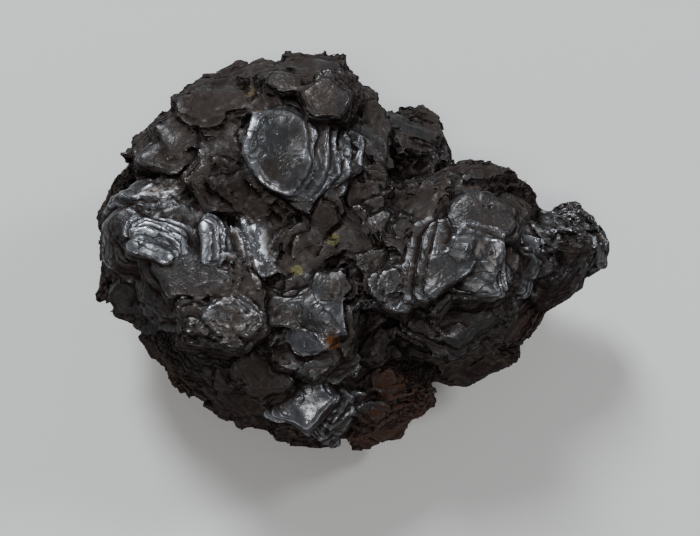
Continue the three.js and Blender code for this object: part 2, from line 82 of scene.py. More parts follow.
CRYSTALS = {
    # the crown, the high broad lobe
    "crown": crystal((-6.8, 6.1, 28.2), (270, 88), (5.8, 6), sides=8, turn=12, step=0.8, ledges=2,
        depth=13, dull=0.6),
    "crown_top": crystal((-4.9, 12.5, 29.4), (100, 84), (4, 3), sides=7, turn=5, flare=0.7, step=0.6,
        ledges=2, depth=7, dull=0.7),
    "crown_plate": crystal((-8.1, 4.8, 29.3), (270, 86), (3.2, 4.4), sides=7, turn=8, flare=0.4,
        uneven=0.5, drift=(2.7, 0), step=0.26, ledges=6, dome=0, depth=6, buds=1, dull=0.2, hills=0.2),
    "crown_saddle": crystal((-10, 10.1, 28.7), (190, 74), (2, 1.5), sides=5, step=0.3, ledges=3, dome=0,
        depth=6, dull=0.65, hills=0.5, buds=1),
    "crown_facet": crystal((-10.6, 7.2, 28.5), (172, 62), (2.6, 1.5), sides=5, flare=0.4, step=0.5,
        ledges=1, depth=5, hills=0.2),
    "crown_knob": crystal((-7.6, 13.3, 30), (110, 80), (1.5, 1.9), sides=5, turn=15, flare=0.5, step=0.6,
        ledges=2, depth=5, buds=1, dull=0.6, hills=0.3),
    "crown_ridge": crystal((-3.9, 10.8, 30.8), (264, 84), (2.3, 2.6), sides=5, turn=-5, flare=0.4,
        drift=(0.3, 0.5), ledges=2, depth=5, buds=0, dull=0.55, hills=0.3),
    "crown_back": crystal((-9.6, 17.3, 27), (102, 56), (3.4, 1.8), flare=1, step=0.5, ledges=3, depth=9,
        dull=0.85),
    "crown_brow": crystal((-5, 17.6, 27.6), (88, 56), (3.4, 1.8), flare=1, step=0.5, ledges=3, depth=9,
        dull=0.85),
    "crown_side": crystal((0, 15.6, 25.4), (45, 50), (2.8, 1.8), flare=1, step=0.5, ledges=3, depth=9,
        dull=0.8),
    "crown_skirt": crystal((-10.5, 0.4, 27.6), (258, 70), (4.8, 1.2), step=0.5, ledges=2, depth=7,
        dull=0.95),
    "cheek": crystal((1.8, 9, 26.6), (10, 66), (4.6, 1.5), turn=10, flare=0.6, step=0.6, ledges=2,
        depth=12, dull=0.55, hills=0.5),
    # the north-west stair
    "stair": crystal((-19.1, 8.3, 24.6), (150, 80), (5.3, 5), sides=7, flare=1, ledges=2, depth=12,
        dull=0.8),
    "stair_top": crystal((-15.3, 11.6, 28), (122, 78), (3.2, 2.6), sides=5, turn=14, flare=1.1,
        uneven=1.1, step=0.35, depth=7, buds=3, dull=0.8, hills=0.6),
    "stair_back": crystal((-14.9, 16.4, 25.4), (118, 52), (3.6, 2.2), flare=1, step=0.5, ledges=3,
        depth=9, dull=0.85),
    "stair_middle": crystal((-18.4, 8.5, 26.9), (264, 82), (3.2, 1.8), sides=4, turn=32, flare=0.4,
        ledges=2, depth=6, buds=1, dull=0.65, hills=0.3),
    "stair_finger": crystal((-20.2, 5.4, 25.9), (268, 82), (3.4, 1.1), turn=12, flare=0.4, step=0.5,
        ledges=2, dome=0.2, depth=6, buds=0, dull=0.4, hills=0.3),
    "stair_ramp": crystal((-13.9, 5, 27.4), (220, 74), (3, 2.4), sides=5, turn=20, flare=0.9, step=0.4,
        depth=7, dull=0.65, hills=0.5),
    "ramp_foot": crystal((-14.3, 0.6, 26.4), (246, 76), (3.3, 1.1), sides=5, turn=10, step=0.3, dome=0,
        depth=7, dull=0.6, hills=0.4),
    "west_corner": crystal((-23.1, 11.3, 20.4), (138, 44), (3.2, 2.3), flare=0.7, step=0.6, ledges=3,
        dull=0.85, rust=0.15),
    "west_wall": crystal((-27.5, 7.8, 18), (158, 30), (2.8, 3), step=0.6, ledges=3, dull=0.85, rust=0.15),
    "west_edge": crystal((-29.2, 3.6, 16), (174, 20), (2.6, 3.6), step=0.6, ledges=3, dull=0.85),
    # the west terrace, a broad crystal with two nests of ledges
    "terrace": crystal((-19, -3.5, 25.4), (84, 86), (6.2, 5.4), sides=8, turn=14, flare=1, step=0.6,
        ledges=2, depth=11, buds=0, dull=0.62, hills=0.5),
    "terrace_left": crystal((-22, -7.2, 27.3), (240, 88), (2.6, 0.8), turn=30, flare=0.6, drift=(0, 2.2),
        step=0.24, ledges=7, dome=0, depth=5, dull=0.2, hills=0.1, buds=0),
    "terrace_right": crystal((-16, -6, 27.2), (185, 88), (2.6, 0.7), turn=30, flare=0.6, drift=(0, 2.3),
        step=0.24, ledges=7, dome=0, depth=5, dull=0.2, hills=0.1, buds=0),
    "terrace_facet": crystal((-25, -4.7, 24.4), (204, 52), (3.4, 2), flare=0.6, step=0.4, ledges=3,
        depth=8, hills=0.2),
    "terrace_band": crystal((-21, 2.1, 25), (96, 66), (4, 1.3), flare=0.6, step=0.4, ledges=3, depth=6,
        dull=0.28, hills=0.3),
    "west_front": crystal((-29.1, -1.6, 15), (186, 16), (2.8, 3.8), step=0.6, ledges=3, dull=0.75),
    "throat": crystal((-9.2, -4.5, 25.9), (-2, 62), (3.4, 1.4), sides=7, flare=0.6, step=0.3, ledges=3,
        dome=0, depth=6, dull=0.05, hills=0.2, buds=0),
    "throat_block": crystal((-7, -2.1, 25.9), (330, 78), (2, 2), sides=5, flare=0.4, step=0.5, ledges=2,
        depth=6, dull=0.75, hills=0.4),
    # the south-west boss and the layers under it
    "boss": crystal((-14.2, -12.3, 26.2), (262, 82), (5.3, 4.3), sides=7, turn=8, flare=0.4, step=0.6,
        ledges=3, dome=0.2, depth=12, dull=0.55, hills=0.9),
    "boss_nest": crystal((-12.9, -13.8, 26.5), (264, 78), (2.6, 1.1), sides=7, turn=15, flare=1,
        drift=(0.3, -1.1), step=0.22, ledges=5, dome=0, depth=5, buds=3, dull=0.35, hills=0.5),
    "boss_facet": crystal((-18.4, -11.9, 25.2), (200, 58), (2.4, 1.2), flare=0.5, step=0.4, ledges=2,
        depth=6, dull=0.1, hills=0.2),
    "boss_shelf": crystal((-20.8, -11.2, 23.6), (228, 62), (2, 2), step=0.35, ledges=3, depth=7,
        dull=0.45, hills=0.4),
    "boss_step": crystal((-17.3, -9.2, 26.7), (266, 86), (4.4, 1.6), sides=5, flare=0.5, step=0.5,
        ledges=2, depth=6, dull=0.5, hills=0.3),
    "boss_flank": crystal((-24.5, -9.1, 20), (214, 50), (2.8, 2), flare=1, step=0.5, ledges=3, depth=9,
        dull=0.6),
    "boss_foot": crystal((-21.8, -12.3, 11), (228, 22), (3.6, 3), step=0.6, ledges=3, dull=0.9, rust=0.6),
    "south_brow": crystal((-14.3, -16.3, 18.6), (252, 48), (4.2, 1.5), flare=1, step=0.45, ledges=3,
        depth=9, dull=0.85, rust=0.2),
    "south_layers": crystal((-12.4, -17.3, 14), (254, 38), (5.6, 2.2), flare=1, step=0.5, ledges=3,
        depth=11, dull=0.9, rust=0.4),
    "south_foot": crystal((-11.7, -18, 6.5), (257, -6), (6.2, 3.4), flare=0.6, ledges=2, depth=11,
        dull=0.9, rust=0.3),
    # the south cluster
    "cluster": crystal((-5.1, -14.3, 24.4), (264, 74), (4.6, 4.8), sides=7, flare=1, step=0.5, ledges=2,
        depth=12, dull=0.7),
    "cluster_column": crystal((-6.5, -12.6, 25.6), (264, 80), (2.1, 1.7), sides=4, turn=8, flare=0.15,
        step=0.5, ledges=2, depth=5, buds=3, dull=0.5, hills=0.6),
    "cluster_head": crystal((-2.8, -10, 26), (272, 82), (1.7, 1.6), sides=4, turn=-6, flare=0.15,
        step=0.5, ledges=2, depth=5, buds=3, dull=0.5, hills=0.6),
    "cluster_post": crystal((-2.4, -13.6, 25.4), (276, 80), (1.4, 1.9), sides=4, turn=4, flare=0.15,
        step=0.5, ledges=2, depth=5, buds=3, dull=0.45, hills=0.5),
    "cluster_glint": crystal((-4.7, -15.9, 24.6), (252, 62), (2.1, 1), sides=5, turn=10, flare=0.3,
        step=0.5, ledges=1, depth=5, buds=1, dull=0, hills=0.1),
    "cluster_cheek": crystal((-10.1, -17.5, 21.8), (250, 60), (3.2, 2.4), flare=1, step=0.5, ledges=2,
        depth=7, dull=0.8, hills=0.4),
    "cluster_step": crystal((-2.4, -17, 21.8), (286, 62), (2.3, 1.2), sides=5, flare=0.7, step=0.4,
        ledges=2, depth=6, dull=0.4),
    "cluster_mirror": crystal((-5.9, -19.9, 19), (266, 62), (2.8, 2.6), sides=5, turn=30, flare=0.5,
        uneven=0.4, step=0.45, ledges=3, depth=8, buds=0, dull=0, hills=0.2),
    "cluster_lip": crystal((-2.3, -20.4, 14.8), (280, 48), (2.7, 2.2), sides=7, flare=0.7, step=0.4,
        ledges=3, depth=8, dull=0.35),
    "cluster_foot": crystal((-5.1, -20.7, 9), (268, 8), (4, 3), flare=0.6, ledges=2, depth=11, dull=0.9,
        rust=0.4),
    "rust_lobe": crystal((4, -18.6, 14.4), (295, 52), (3.2, 2.8), sides=7, flare=1.1, step=0.45, dome=0.8,
        depth=11, buds=7, dull=1, rust=1, hills=1.4),
    "rust_foot": crystal((3.9, -20.6, 8), (285, 10), (4, 3), sides=7, step=0.5, ledges=3, dull=0.95,
        rust=0.9),
    "cluster_gap": crystal((0, -11.9, 22.8), (296, 62), (2, 1.5), flare=0.9, step=0.35, depth=7,
        dull=0.8),
    "cluster_hollow": crystal((1.9, -13.7, 19.6), (282, 58), (2.2, 1.6), flare=0.9, step=0.35, depth=7,
        dull=0.85),
    "rust_wart": crystal((1.3, -15.5, 18.8), (285, 62), (1.4, 1.3), sides=5, flare=0.6, step=0.4,
        ledges=2, depth=5, dull=0.8, rust=0.3),
    # the valley between the crown and the east block
    "valley_plate": crystal((-3.8, -1.6, 27), (258, 62), (2.2, 2.1), turn=18, flare=0.5, step=0.6,
        ledges=2, depth=6, dull=0.9, hills=0.3, buds=1),
    "valley_west": crystal((-5.6, -6.9, 25.4), (300, 74), (3.2, 2), flare=1, step=0.4, ledges=3, depth=6,
        dull=0.8),
    "valley_fold": crystal((-5, -4.5, 25.9), (312, 62), (2.6, 0.8), turn=10, flare=0.9, step=0.25,
        ledges=5, dome=0, depth=6, dull=0.6, hills=0.5),
    "valley_rib": crystal((-2.6, -5.9, 25.2), (306, 66), (2, 0.7), turn=20, flare=0.9, step=0.3, dome=0,
        depth=6, dull=0.6, hills=0.5),
    "valley_east": crystal((0, -4, 26), (230, 72), (3, 2.2), sides=5, flare=0.9, step=0.3, ledges=5,
        dome=0, depth=6, dull=0.6),
    "valley_head": crystal((1.1, 0.6, 26.4), (250, 72), (2.6, 1.6), flare=0.9, step=0.3, dome=0.1,
        depth=6, dull=0.75),
    # the east block
    "block": crystal((11.4, -4.7, 26.4), (270, 87), (6, 5.8), sides=8, turn=10, flare=0.9, step=0.8,
        ledges=2, depth=12, dull=0.6),
    "block_onion": crystal((3.8, -9.7, 26.8), (245, 82), (1.1, 1.3), sides=7, turn=8, flare=1.4,
        uneven=0.5, step=0.28, ledges=6, dome=0, depth=8, buds=1, dull=0.5, hills=0.6),
    "block_steps": crystal((9.2, -7.5, 27.4), (262, 86), (1.2, 5), sides=5, turn=36, flare=0.4,
        drift=(-2.3, 0), step=0.32, ledges=5, dome=0, depth=6, buds=0, dull=0.48, hills=0.3),
    "block_table": crystal((14.3, -2.6, 28.2), (80, 84), (4.3, 2.4), sides=7, turn=10, flare=0.4,
        step=0.5, ledges=3, depth=6, buds=3, dull=0.5, hills=0.2),
    "block_mirror": crystal((12.7, -8.1, 27.1), (254, 58), (2.9, 3.6), sides=5, turn=10, flare=0.5,
        step=0.4, ledges=3, dome=0.2, depth=7, buds=3, dull=0.2, hills=0.5),
    "block_back": crystal((12.7, 4.1, 24.6), (98, 56), (5, 2.2), flare=0.9, step=0.5, ledges=3, dull=0.9),
    "block_nape": crystal((6.5, 0.1, 26), (126, 68), (4.6, 1.7), flare=1.2, step=0.4, depth=7, dull=0.8),
    "block_brow": crystal((3.6, -3.9, 26.8), (235, 80), (2.7, 1.7), sides=5, flare=0.6, step=0.4,
        ledges=2, depth=6, dull=0.6, hills=0.3),
    # the snout
    "snout_root": crystal((17.4, -6.3, 22.4), (300, 58), (2.6, 2.8), turn=12, flare=0.6, step=0.5,
        ledges=2, depth=7, hills=0.6),
    "root_glint": crystal((19.7, -2.8, 22), (258, 64), (0.9, 0.9), sides=5, turn=20, flare=0.5, step=0.3,
        ledges=2, dome=0, depth=4, dull=0, hills=0, buds=0),
    "snout_ridge": crystal((22.5, -4.2, 19.4), (284, 50), (3.8, 2.7), turn=8, flare=0.5, step=0.5,
        ledges=1, depth=6, dull=0.5, hills=0.7),
    "snout_top": crystal((23.1, 0.6, 20.4), (78, 54), (4.6, 2), turn=-6, flare=0.5, step=0.5, ledges=1,
        depth=7, dull=0.5, hills=0.7),
    "snout": crystal((28.6, 0.1, 17.2), (350, 50), (1.6, 1.4), turn=30, flare=0.7, step=0.35, ledges=2,
        depth=6, hills=0.2),
    "snout_glint": crystal((26.7, -0.1, 18.2), (266, 66), (1.2, 0.6), sides=5, flare=0.4, step=0.3,
        ledges=2, dome=0, depth=4, dull=0, hills=0, buds=0),
    # the layers under the east block
    "belly": crystal((10.9, -12.1, 21), (280, 56), (6, 1.6), flare=0.9, step=0.5, ledges=3, depth=9,
        dull=0.55),
    "belly_band": crystal((10.3, -13.5, 16), (277, 38), (5.6, 1.7), step=0.5, ledges=3, depth=11,
        dull=0.7),
    "belly_foot": crystal((14.1, -14, 9.2), (284, 22), (4.3, 2.7), flare=0.7, step=0.6, ledges=3,
        dull=0.8, rust=0.2),
    "belly_east": crystal((19, -9, 15.6), (318, 36), (4.4, 3.4), step=0.5, ledges=2, dull=0.9, rust=0.5),
    # the shoulder between the crown and the east block
    "shoulder": crystal((7.2, 12.6, 21), (52, 54), (3.3, 2.7), flare=1, step=0.5, ledges=3, depth=12,
        dull=0.7),
    "shoulder_plate": crystal((7.3, 7.4, 21.4), (268, 70), (2.5, 1.8), sides=5, turn=15, flare=0.7,
        step=0.5, ledges=2, depth=7, dull=0.6),
    # the north and east walls
    "north_west": crystal((-13.3, 20.2, 15), (108, 8), (5, 5), ledges=3, depth=13, dull=0.7),
    "north": crystal((-3.7, 21.6, 13), (88, 5), (4.8, 4.8), turn=15, ledges=3, depth=13, dull=0.7),
    "north_east": crystal((4.1, 16.6, 10.4), (60, 0), (4.6, 4.2), ledges=2, depth=12, dull=0.7),
    "east_wall": crystal((14.9, 8, 10.4), (76, 2), (5.6, 4.2), turn=12, ledges=2, dull=0.7),
    "under_snout": crystal((20.6, -0.4, 8.6), (350, -18), (4, 3), ledges=1, dull=0.8, rust=0.4),
    "west_low": crystal((-27.7, 3.2, 8.6), (172, -8), (4.6, 3.4), ledges=2, dull=0.7),
    "west_low_corner": crystal((-23.7, 13, 9), (140, -5), (5, 4.2), turn=10, ledges=2, depth=12,
        dull=0.7),
    "west_low_front": crystal((-25.1, -5.8, 9.4), (200, -8), (4.2, 3.4), ledges=2, dull=0.7),
    # the underside
    "sole": crystal((-6.7, 0.7, 0), (270, -90), (8, 8.4), sides=7, flare=1, ledges=2, dome=0, depth=12,
        buds=0, dull=0.4),
    "sole_east": crystal((9.7, -3.8, 0.5), (330, -82), (5.6, 5), sides=7, ledges=2, buds=0, dull=0.5),
    "sole_west": crystal((-18.3, -5.8, 2.6), (200, -56), (5, 4.6), ledges=1, buds=0, dull=0.5),
    "sole_north_west": crystal((-16.1, 10.6, 2.4), (138, -58), (5, 5), turn=15, ledges=1, buds=0,
        dull=0.5),
    "sole_south": crystal((-2.3, -15.4, 2.2), (270, -60), (5, 4.4), ledges=1, buds=0, dull=0.6),
    "sole_north": crystal((0.3, 12.8, 2.4), (75, -58), (5, 4.4), turn=10, ledges=1, buds=0, dull=0.5),
    "sole_snout": crystal((17.7, -3.4, 3), (5, -52), (4.6, 4), ledges=1, buds=0, dull=0.6),
}

# Massive ore, as if it were a crystal: it looks up, so its layers lie level.
ORE = crystal((0, 0, 0), (0, 90), (1, 1), hills=0.9)

# The lumps of massive ore that the crystals grow from.
LUMPS = {
    "core": {"at": (-5, -1.2, 14.6), "half": (17.6, 13.2, 10)},
    "crown": {"at": (-6.3, 8, 17.8), "half": (8.8, 9, 10.1)},
    "stair": {"at": (-17, 7.6, 14.8), "half": (9.6, 9.2, 10)},
    "terrace": {"at": (-17.8, -3, 13.8), "half": (10, 8.4, 11.2)},
    "boss": {"at": (-14, -10, 12.8), "half": (8, 7, 12.2)},
    "cluster": {"at": (-3.8, -11.2, 12.4), "half": (7.2, 7.4, 11.8)},
    "valley": {"at": (-1.4, -2.9, 14), "half": (8.8, 8.6, 11)},
    "saddle": {"at": (2.4, -1.4, 21.2), "half": (3.2, 3.2, 3.6)},
    "block": {"at": (11, -1.6, 14.8), "half": (9.8, 9.2, 11)},
    "bridge": {"at": (5.4, -9.7, 19), "half": (3.2, 2.6, 3.6)},
    "snout": {"at": (19.4, -1.2, 14.8), "half": (8.4, 6.2, 7.4), "dull": 0.42},
    "snout_middle": {"at": (22.8, 0, 14.9), "half": (6.2, 4.7, 5.6), "dull": 0.4},
    "snout_tip": {"at": (26.4, 1.3, 14.9), "half": (3.9, 3.1, 3.5), "dull": 0.4},
    "belly": {"at": (13.8, -6.4, 10.4), "half": (7.6, 6.2, 8)},
    "shoulder": {"at": (7.6, 9.6, 13), "half": (4.4, 5, 8)},
    "rust_lobe": {"at": (4.4, -14.6, 9.4), "half": (4.6, 4.6, 6.4)},
}

# ---------------------------------------------------------------- the field

CELL = 0.16  # spacing of the field's samples
MARGIN = 1.2  # how far the samples reach past the solid model
SPARE = 0.5  # how far the stone may stand out of the solid model's box
FACES = 196000  # triangles of the finished stone
# Which places count as its underside, by their normal and by their height in millimetres, and the
# share of their faces that is kept before the whole stone is thinned.
UNDER = -0.2
FOOT = 1.5
UNDER_SHARE = 0.07
EVER_SO_LITTLE = 1e-9  # a weight that only makes a thinning keep to its group
FAR = 5  # the field where nothing grows
SEED = 7
BLEND = 0.45  # how far the colour of one crystal runs into the next

CORNER = 0.45  # rounding of an outline's corners
RIM = 0.08  # rounding of a ledge's rim
FILLET = 0.08  # rounding of the angle between two ledges
JOIN = 0.45  # rounding of the angle between two crystals
BEND = ((6.0, 0.4), (1.9, 0.12))  # wavelength and size of the noise that bends everything
WANDER = ((2.4, 0.3), (0.9, 0.12))  # wavelength and size of the noise that a rim wanders by
FREEDOM = (0.45, 0.25)  # share of that on the plate's rim, and how much more on each lower one
SWELL = 0.1  # how much a ledge's height changes along it
LAYERS = (0.75, 0.2)  # height and depth of the layers that a crystal's walls show
LAYER_CREST = 0.3  # how far up itself a layer stands out most
LAYER_WANDER = 0.8  # how much the wandering of the rims shifts them
LEDGE_TURN = 1.9  # how differently one ledge wanders from the next, in radians
ROOMY = 1.2  # by what factor a crystal's reach is taken larger when its samples are picked
SKIN = 1.35  # how thick a layer of the field is kept true on each side of the surface
GRAIN = ((2.6, 0.045), (0.8, 0.01))  # wavelength and size of the unevenness of every face
ORE_RELIEF = 0.6  # how uneven the massive ore is
ORE_GRAIN = (1.2, 0.05)  # wavelength and size of its finer unevenness
# The layers that run through the whole stone: which way they are stacked, the wavelength and size
# of their waves, and the pitch and depth of each kind.
LAYER_TILT = (0.12, -0.25, 1)
LAYER_WAVE = (13, 1.5)
STONE_LAYERS = ((1.15, 0.3), (0.5, 0.16))
LAYER_FADE = 3.5  # over what wavelength they come and go
LAYER_RAGGED = 0.9  # how much the wandering of the rims shifts them

# Small crystals scattered over the lumps: how many, how deep in another lump and how near the floor
# one may start, where along X the bare snout begins, and how much more they look up than the ore.
SCALES = 200
SCALE_BURIED = 0.3
SCALE_LOWEST = 1
SNOUT_FROM = 21
UPWARD = np.array([0, 0, 0.25])
SCALE_SEED = 11
BUD_SEED = 5

# Growth hills: low stepped pyramids all over the faces. Their spacing, the width and height of
# their steps, and how deep they may cut.
HILL_SIZE = 4.6
HILL_TREAD = 0.8
HILL_STEP = 0.22
HILL_DEPTH = 0.75
HILL_RISER = 0.3  # the share of a tread that is the slope down to the next
HILL_REPEAT = 16  # after how many hills in a row their tops repeat
HILL_SEED = 23

# What the stone's points know of how they were formed: how sharp and how hollow the place is, how
# deep it lies in a hollow, its depth under its crystal's plate, how far it lies outside that plate,
# how far it is turned from its crystal's front and from the sky, and how dull and rusty it is.
MARKS = ("edge", "hollow", "deep", "depth", "growth", "side", "steep", "dull", "rust")
OUTLOOK = (0.5, 1.6)  # how far a place looks around itself to tell how hollow and how deep it is


def soft_max(a, b, radius):
    """The larger of a and b, rounded where they meet."""
    gap = np.maximum(radius - np.abs(a - b), 0)
    return np.maximum(a, b) + gap * gap / (4 * radius)


def soft_min(a, b, radius):
    """The smaller of a and b, rounded where they meet."""
    return -soft_max(-a, -b, radius)


def upright(values, axis):
    """Values along one axis, in the shape that spreads them over the two others."""
    shape = [1, 1, 1]
    shape[axis] = -1
    return values.reshape(shape)


def wobble(index, side, k=0):
    """A fixed irregularity between -1 and 1 for a side of ledge k of a crystal."""
    return math.sin(index * STRAY[0] + side * STRAY[1] + k * STRAY[2])


def direction(azimuth, rise):
    """The direction of an azimuth and a rise in degrees, as three numbers."""
    azimuth, rise = math.radians(azimuth), math.radians(rise)
    level = math.cos(rise)
    return math.cos(azimuth) * level, math.sin(azimuth) * level, math.sin(rise)


def angles_of(way):
    """The azimuth and rise of a direction, in degrees."""
    x, y, z = way / np.linalg.norm(way)
    return math.degrees(math.atan2(y, x)), math.degrees(math.asin(z))


class Samples:
    """A box of evenly spaced points around the stone, in millimetres."""

    def __init__(self, low, high):
        self.low = low - MARGIN
        self.count = np.ceil((high + MARGIN - self.low) / CELL).astype(int) + 1
        self.axes = [
            (self.low[i] + CELL * np.arange(self.count[i])).astype(np.float32) for i in range(3)
        ]

    def noise(self, wavelength, seed):
        """Smooth noise whose size is 1 on average."""
        values = np.random.default_rng(seed)
        weights = []
        for axis in self.axes:
            place = (axis - axis[0]) / wavelength
            first = np.floor(place).astype(int)
            t = place - first
            rows = np.zeros((len(axis), first[-1] + 4), np.float32)
            spline = ((1 - t) ** 3, 3 * t**3 - 6 * t**2 + 4, 3 * (t + t**2 - t**3) + 1, t**3)
            for step, weight in enumerate(spline):
                rows[np.arange(len(axis)), first + step] = weight / 6
            weights.append(rows)
        knots = values.uniform(-1, 1, [rows.shape[1] for rows in weights]).astype(np.float32)
        along_x = np.tensordot(weights[0], knots, 1)
        along_y = np.matmul(weights[1], along_x)
        noise = np.matmul(along_y, weights[2].T)
        return noise / noise.std()

    def window(self, middle, half):
        """The slices of the box that hold everything within half of the middle."""
        slices = []
        for i in range(3):
            first = int((middle[i] - half[i] - self.low[i]) / CELL)
            last = int((middle[i] + half[i] - self.low[i]) / CELL) + 2
            slices.append(slice(max(first, 0), max(min(last, self.count[i]), 0)))
        return tuple(slices)

    def read(self, grid, points):
        """The values of a grid at any points, from the eight samples around each."""
        place = (points - self.low) / CELL
        first = np.clip(np.floor(place).astype(int), 0, self.count - 2)
        t = np.clip(place - first, 0, 1)
        total = np.zeros(len(points))
        for corner in np.ndindex(2, 2, 2):
            share = np.prod(np.where(corner, t, 1 - t), axis=1)
            total += share * grid[tuple((first + corner).T)]
        return total

    def nearest(self, grid, points):
        place = np.clip(np.rint((points - self.low) / CELL).astype(int), 0, self.count - 1)
        return grid[tuple(place.T)]

    def blurred(self, grid, reach):
        """A grid averaged over boxes of about that half-width, twice."""
        n = max(int(round(reach / CELL)), 1)
        for axis in (0, 1, 2, 0, 1, 2):
            ends = [(0, 0)] * 3
            ends[axis] = (n + 1, n)
            total = np.cumsum(np.pad(grid, ends, mode="edge"), axis=axis, dtype=np.float64)
            ahead = np.take(total, range(2 * n + 1, total.shape[axis]), axis=axis)
            behind = np.take(total, range(0, total.shape[axis] - 2 * n - 1), axis=axis)
            grid = ((ahead - behind) / (2 * n + 1)).astype(np.float32)
        return grid


class Crystal:
    """One crystal, with the frame of its plate."""

    def __init__(self, index, own):
        for name, value in {**USUAL, **own}.items():
            setattr(self, name, value)
        self.index = index
        azimuth = math.radians(self.looks[0])
        self.out = np.array(direction(*self.looks))
        self.level = np.array([-math.sin(azimuth), math.cos(azimuth), 0])
        self.up = np.cross(self.out, self.level)
        self.middle = np.array(self.at, float)

    def spread(self, k):
        """How far the rim of ledge k stands outside the plate's own rim."""
        depth = self.step * (k + 0.5) ** LEDGE_GROWTH
        return self.flare * max(depth - self.dome, 0) ** WIDENING

    def room(self):
        """Middle and half-widths of an upright box that holds the crystal."""
        lowest = self.ledges - 1
        drift = max(abs(way) for way in self.drift) * self.step * lowest**LEDGE_GROWTH
        across = max(self.reach) * ROOMY + (1 + self.uneven) * self.spread(lowest) + drift
        flat = np.sqrt(1 - self.out**2)
        half = across * flat + self.depth / 2 * np.abs(self.out) + SKIN
        return self.middle - self.out * self.depth / 2, half

    def outside_rim(self, x, y, shift, k=0, spread=0):
        """How far points stand outside the rim of ledge k, once it has drifted by shift."""
        rim = None
        for side in range(self.sides):
            angle = math.radians(self.turn + 360 * side / self.sides)
            facing = math.cos(angle), math.sin(angle)
            reach = math.hypot(self.reach[0] * facing[0], self.reach[1] * facing[1])
            reach *= 1 + IRREGULAR * wobble(self.index, side)
            reach += spread * (1 + self.uneven * wobble(self.index, side, k + 1))
            moved = facing[0] * shift[0] + facing[1] * shift[1]
            beyond = x * facing[0] + y * facing[1] - reach - moved
            rim = beyond if rim is None else soft_max(rim, beyond, CORNER)
        return rim

    def distance(self, x, y, z, wander, other):
        """How far points in the crystal's own frame stand outside it. Two noises move its rims."""
        plate = np.clip(1 + self.outside_rim(x, y, (0, 0)) / min(self.reach), 0, 1) ** 2
        height = z + self.dome * plate
        stone = None
        pitch, cut = LAYERS
        layer = z / pitch + LAYER_WANDER * other
        layers = cut * (np.abs(layer - np.floor(layer) - LAYER_CREST) - LAYER_CREST)
        for k in range(self.ledges):
            top = self.step * k**LEDGE_GROWTH
            drift = self.drift[0] * top, self.drift[1] * top
            rim = self.outside_rim(x, y, drift, k, self.spread(k))
            turn = LEDGE_TURN * k + self.index
            moved = math.cos(turn) * wander + math.sin(turn) * other
            free = min(1, FREEDOM[0] + FREEDOM[1] * k)
            beyond = rim + free * moved + layers
            ledge = soft_max(height + top + SWELL * moved, beyond, RIM)
            stone = ledge if stone is None else soft_min(stone, ledge, FILLET)
        return np.maximum(stone, -z - self.depth)


def away_from_hills(places):
    """Distance in millimetres to the top of the nearest growth hill, along three faces of a cube
    that stands on its corner."""
    axes = np.array([
        np.array([1, -1, 0]) / math.sqrt(2), np.array([1, 1, -2]) / math.sqrt(6), np.full(3, 3**-0.5)
    ])
    turned = places @ axes / HILL_SIZE
    cell = np.floor(turned).astype(np.int32)
    repeat = (HILL_REPEAT,) * 3
    tops = np.random.default_rng(HILL_SEED).uniform(0.1, 0.9, (*repeat, 3)).astype(np.float32)
    nearest = np.full(len(places), np.inf, np.float32)
    for step in np.ndindex(3, 3, 3):
        other = cell + np.array(step) - 1
        top = other + tops[tuple((other % HILL_REPEAT).T)]
        nearest = np.minimum(nearest, np.abs(turned - top).max(axis=1))
    return nearest * HILL_SIZE


def staircase(count, riser):
    """Whole steps of 1, each taken over the last share of its width."""
    part = count - np.floor(count)
    t = np.clip((part - 1 + riser) / riser, 0, 1)
    return np.floor(count) + t * t * (3 - 2 * t)


def cut_growth(samples, field, owner, bent, wander, known):
    """Cuts the steps of the growth hills and the layers of the whole stone into the faces."""
    near = np.abs(field) < SKIN - 0.2
    places = np.stack([bent[i][near] for i in range(3)], 1)
    strength = np.array([c.hills for c in known], np.float32)[owner[near]]
    count = away_from_hills(places) / HILL_TREAD + 0.5 * wander[near]
    cut = np.minimum(HILL_STEP * staircase(count, HILL_RISER), HILL_DEPTH) - 0.4 * HILL_DEPTH
    waves = LAYER_WAVE[1] * samples.noise(LAYER_WAVE[0], SEED + 80)[near]
    fades = np.clip(0.75 + 0.5 * samples.noise(LAYER_FADE, SEED + 81)[near], 0.1, 1.3)
    for pitch, deep in STONE_LAYERS:
        layer = (places @ np.array(LAYER_TILT) + waves) / pitch + LAYER_RAGGED * wander[near]
        cut += deep * fades * (0.5 - (layer - np.floor(layer)))
    field[near] += (strength * cut).astype(np.float32)


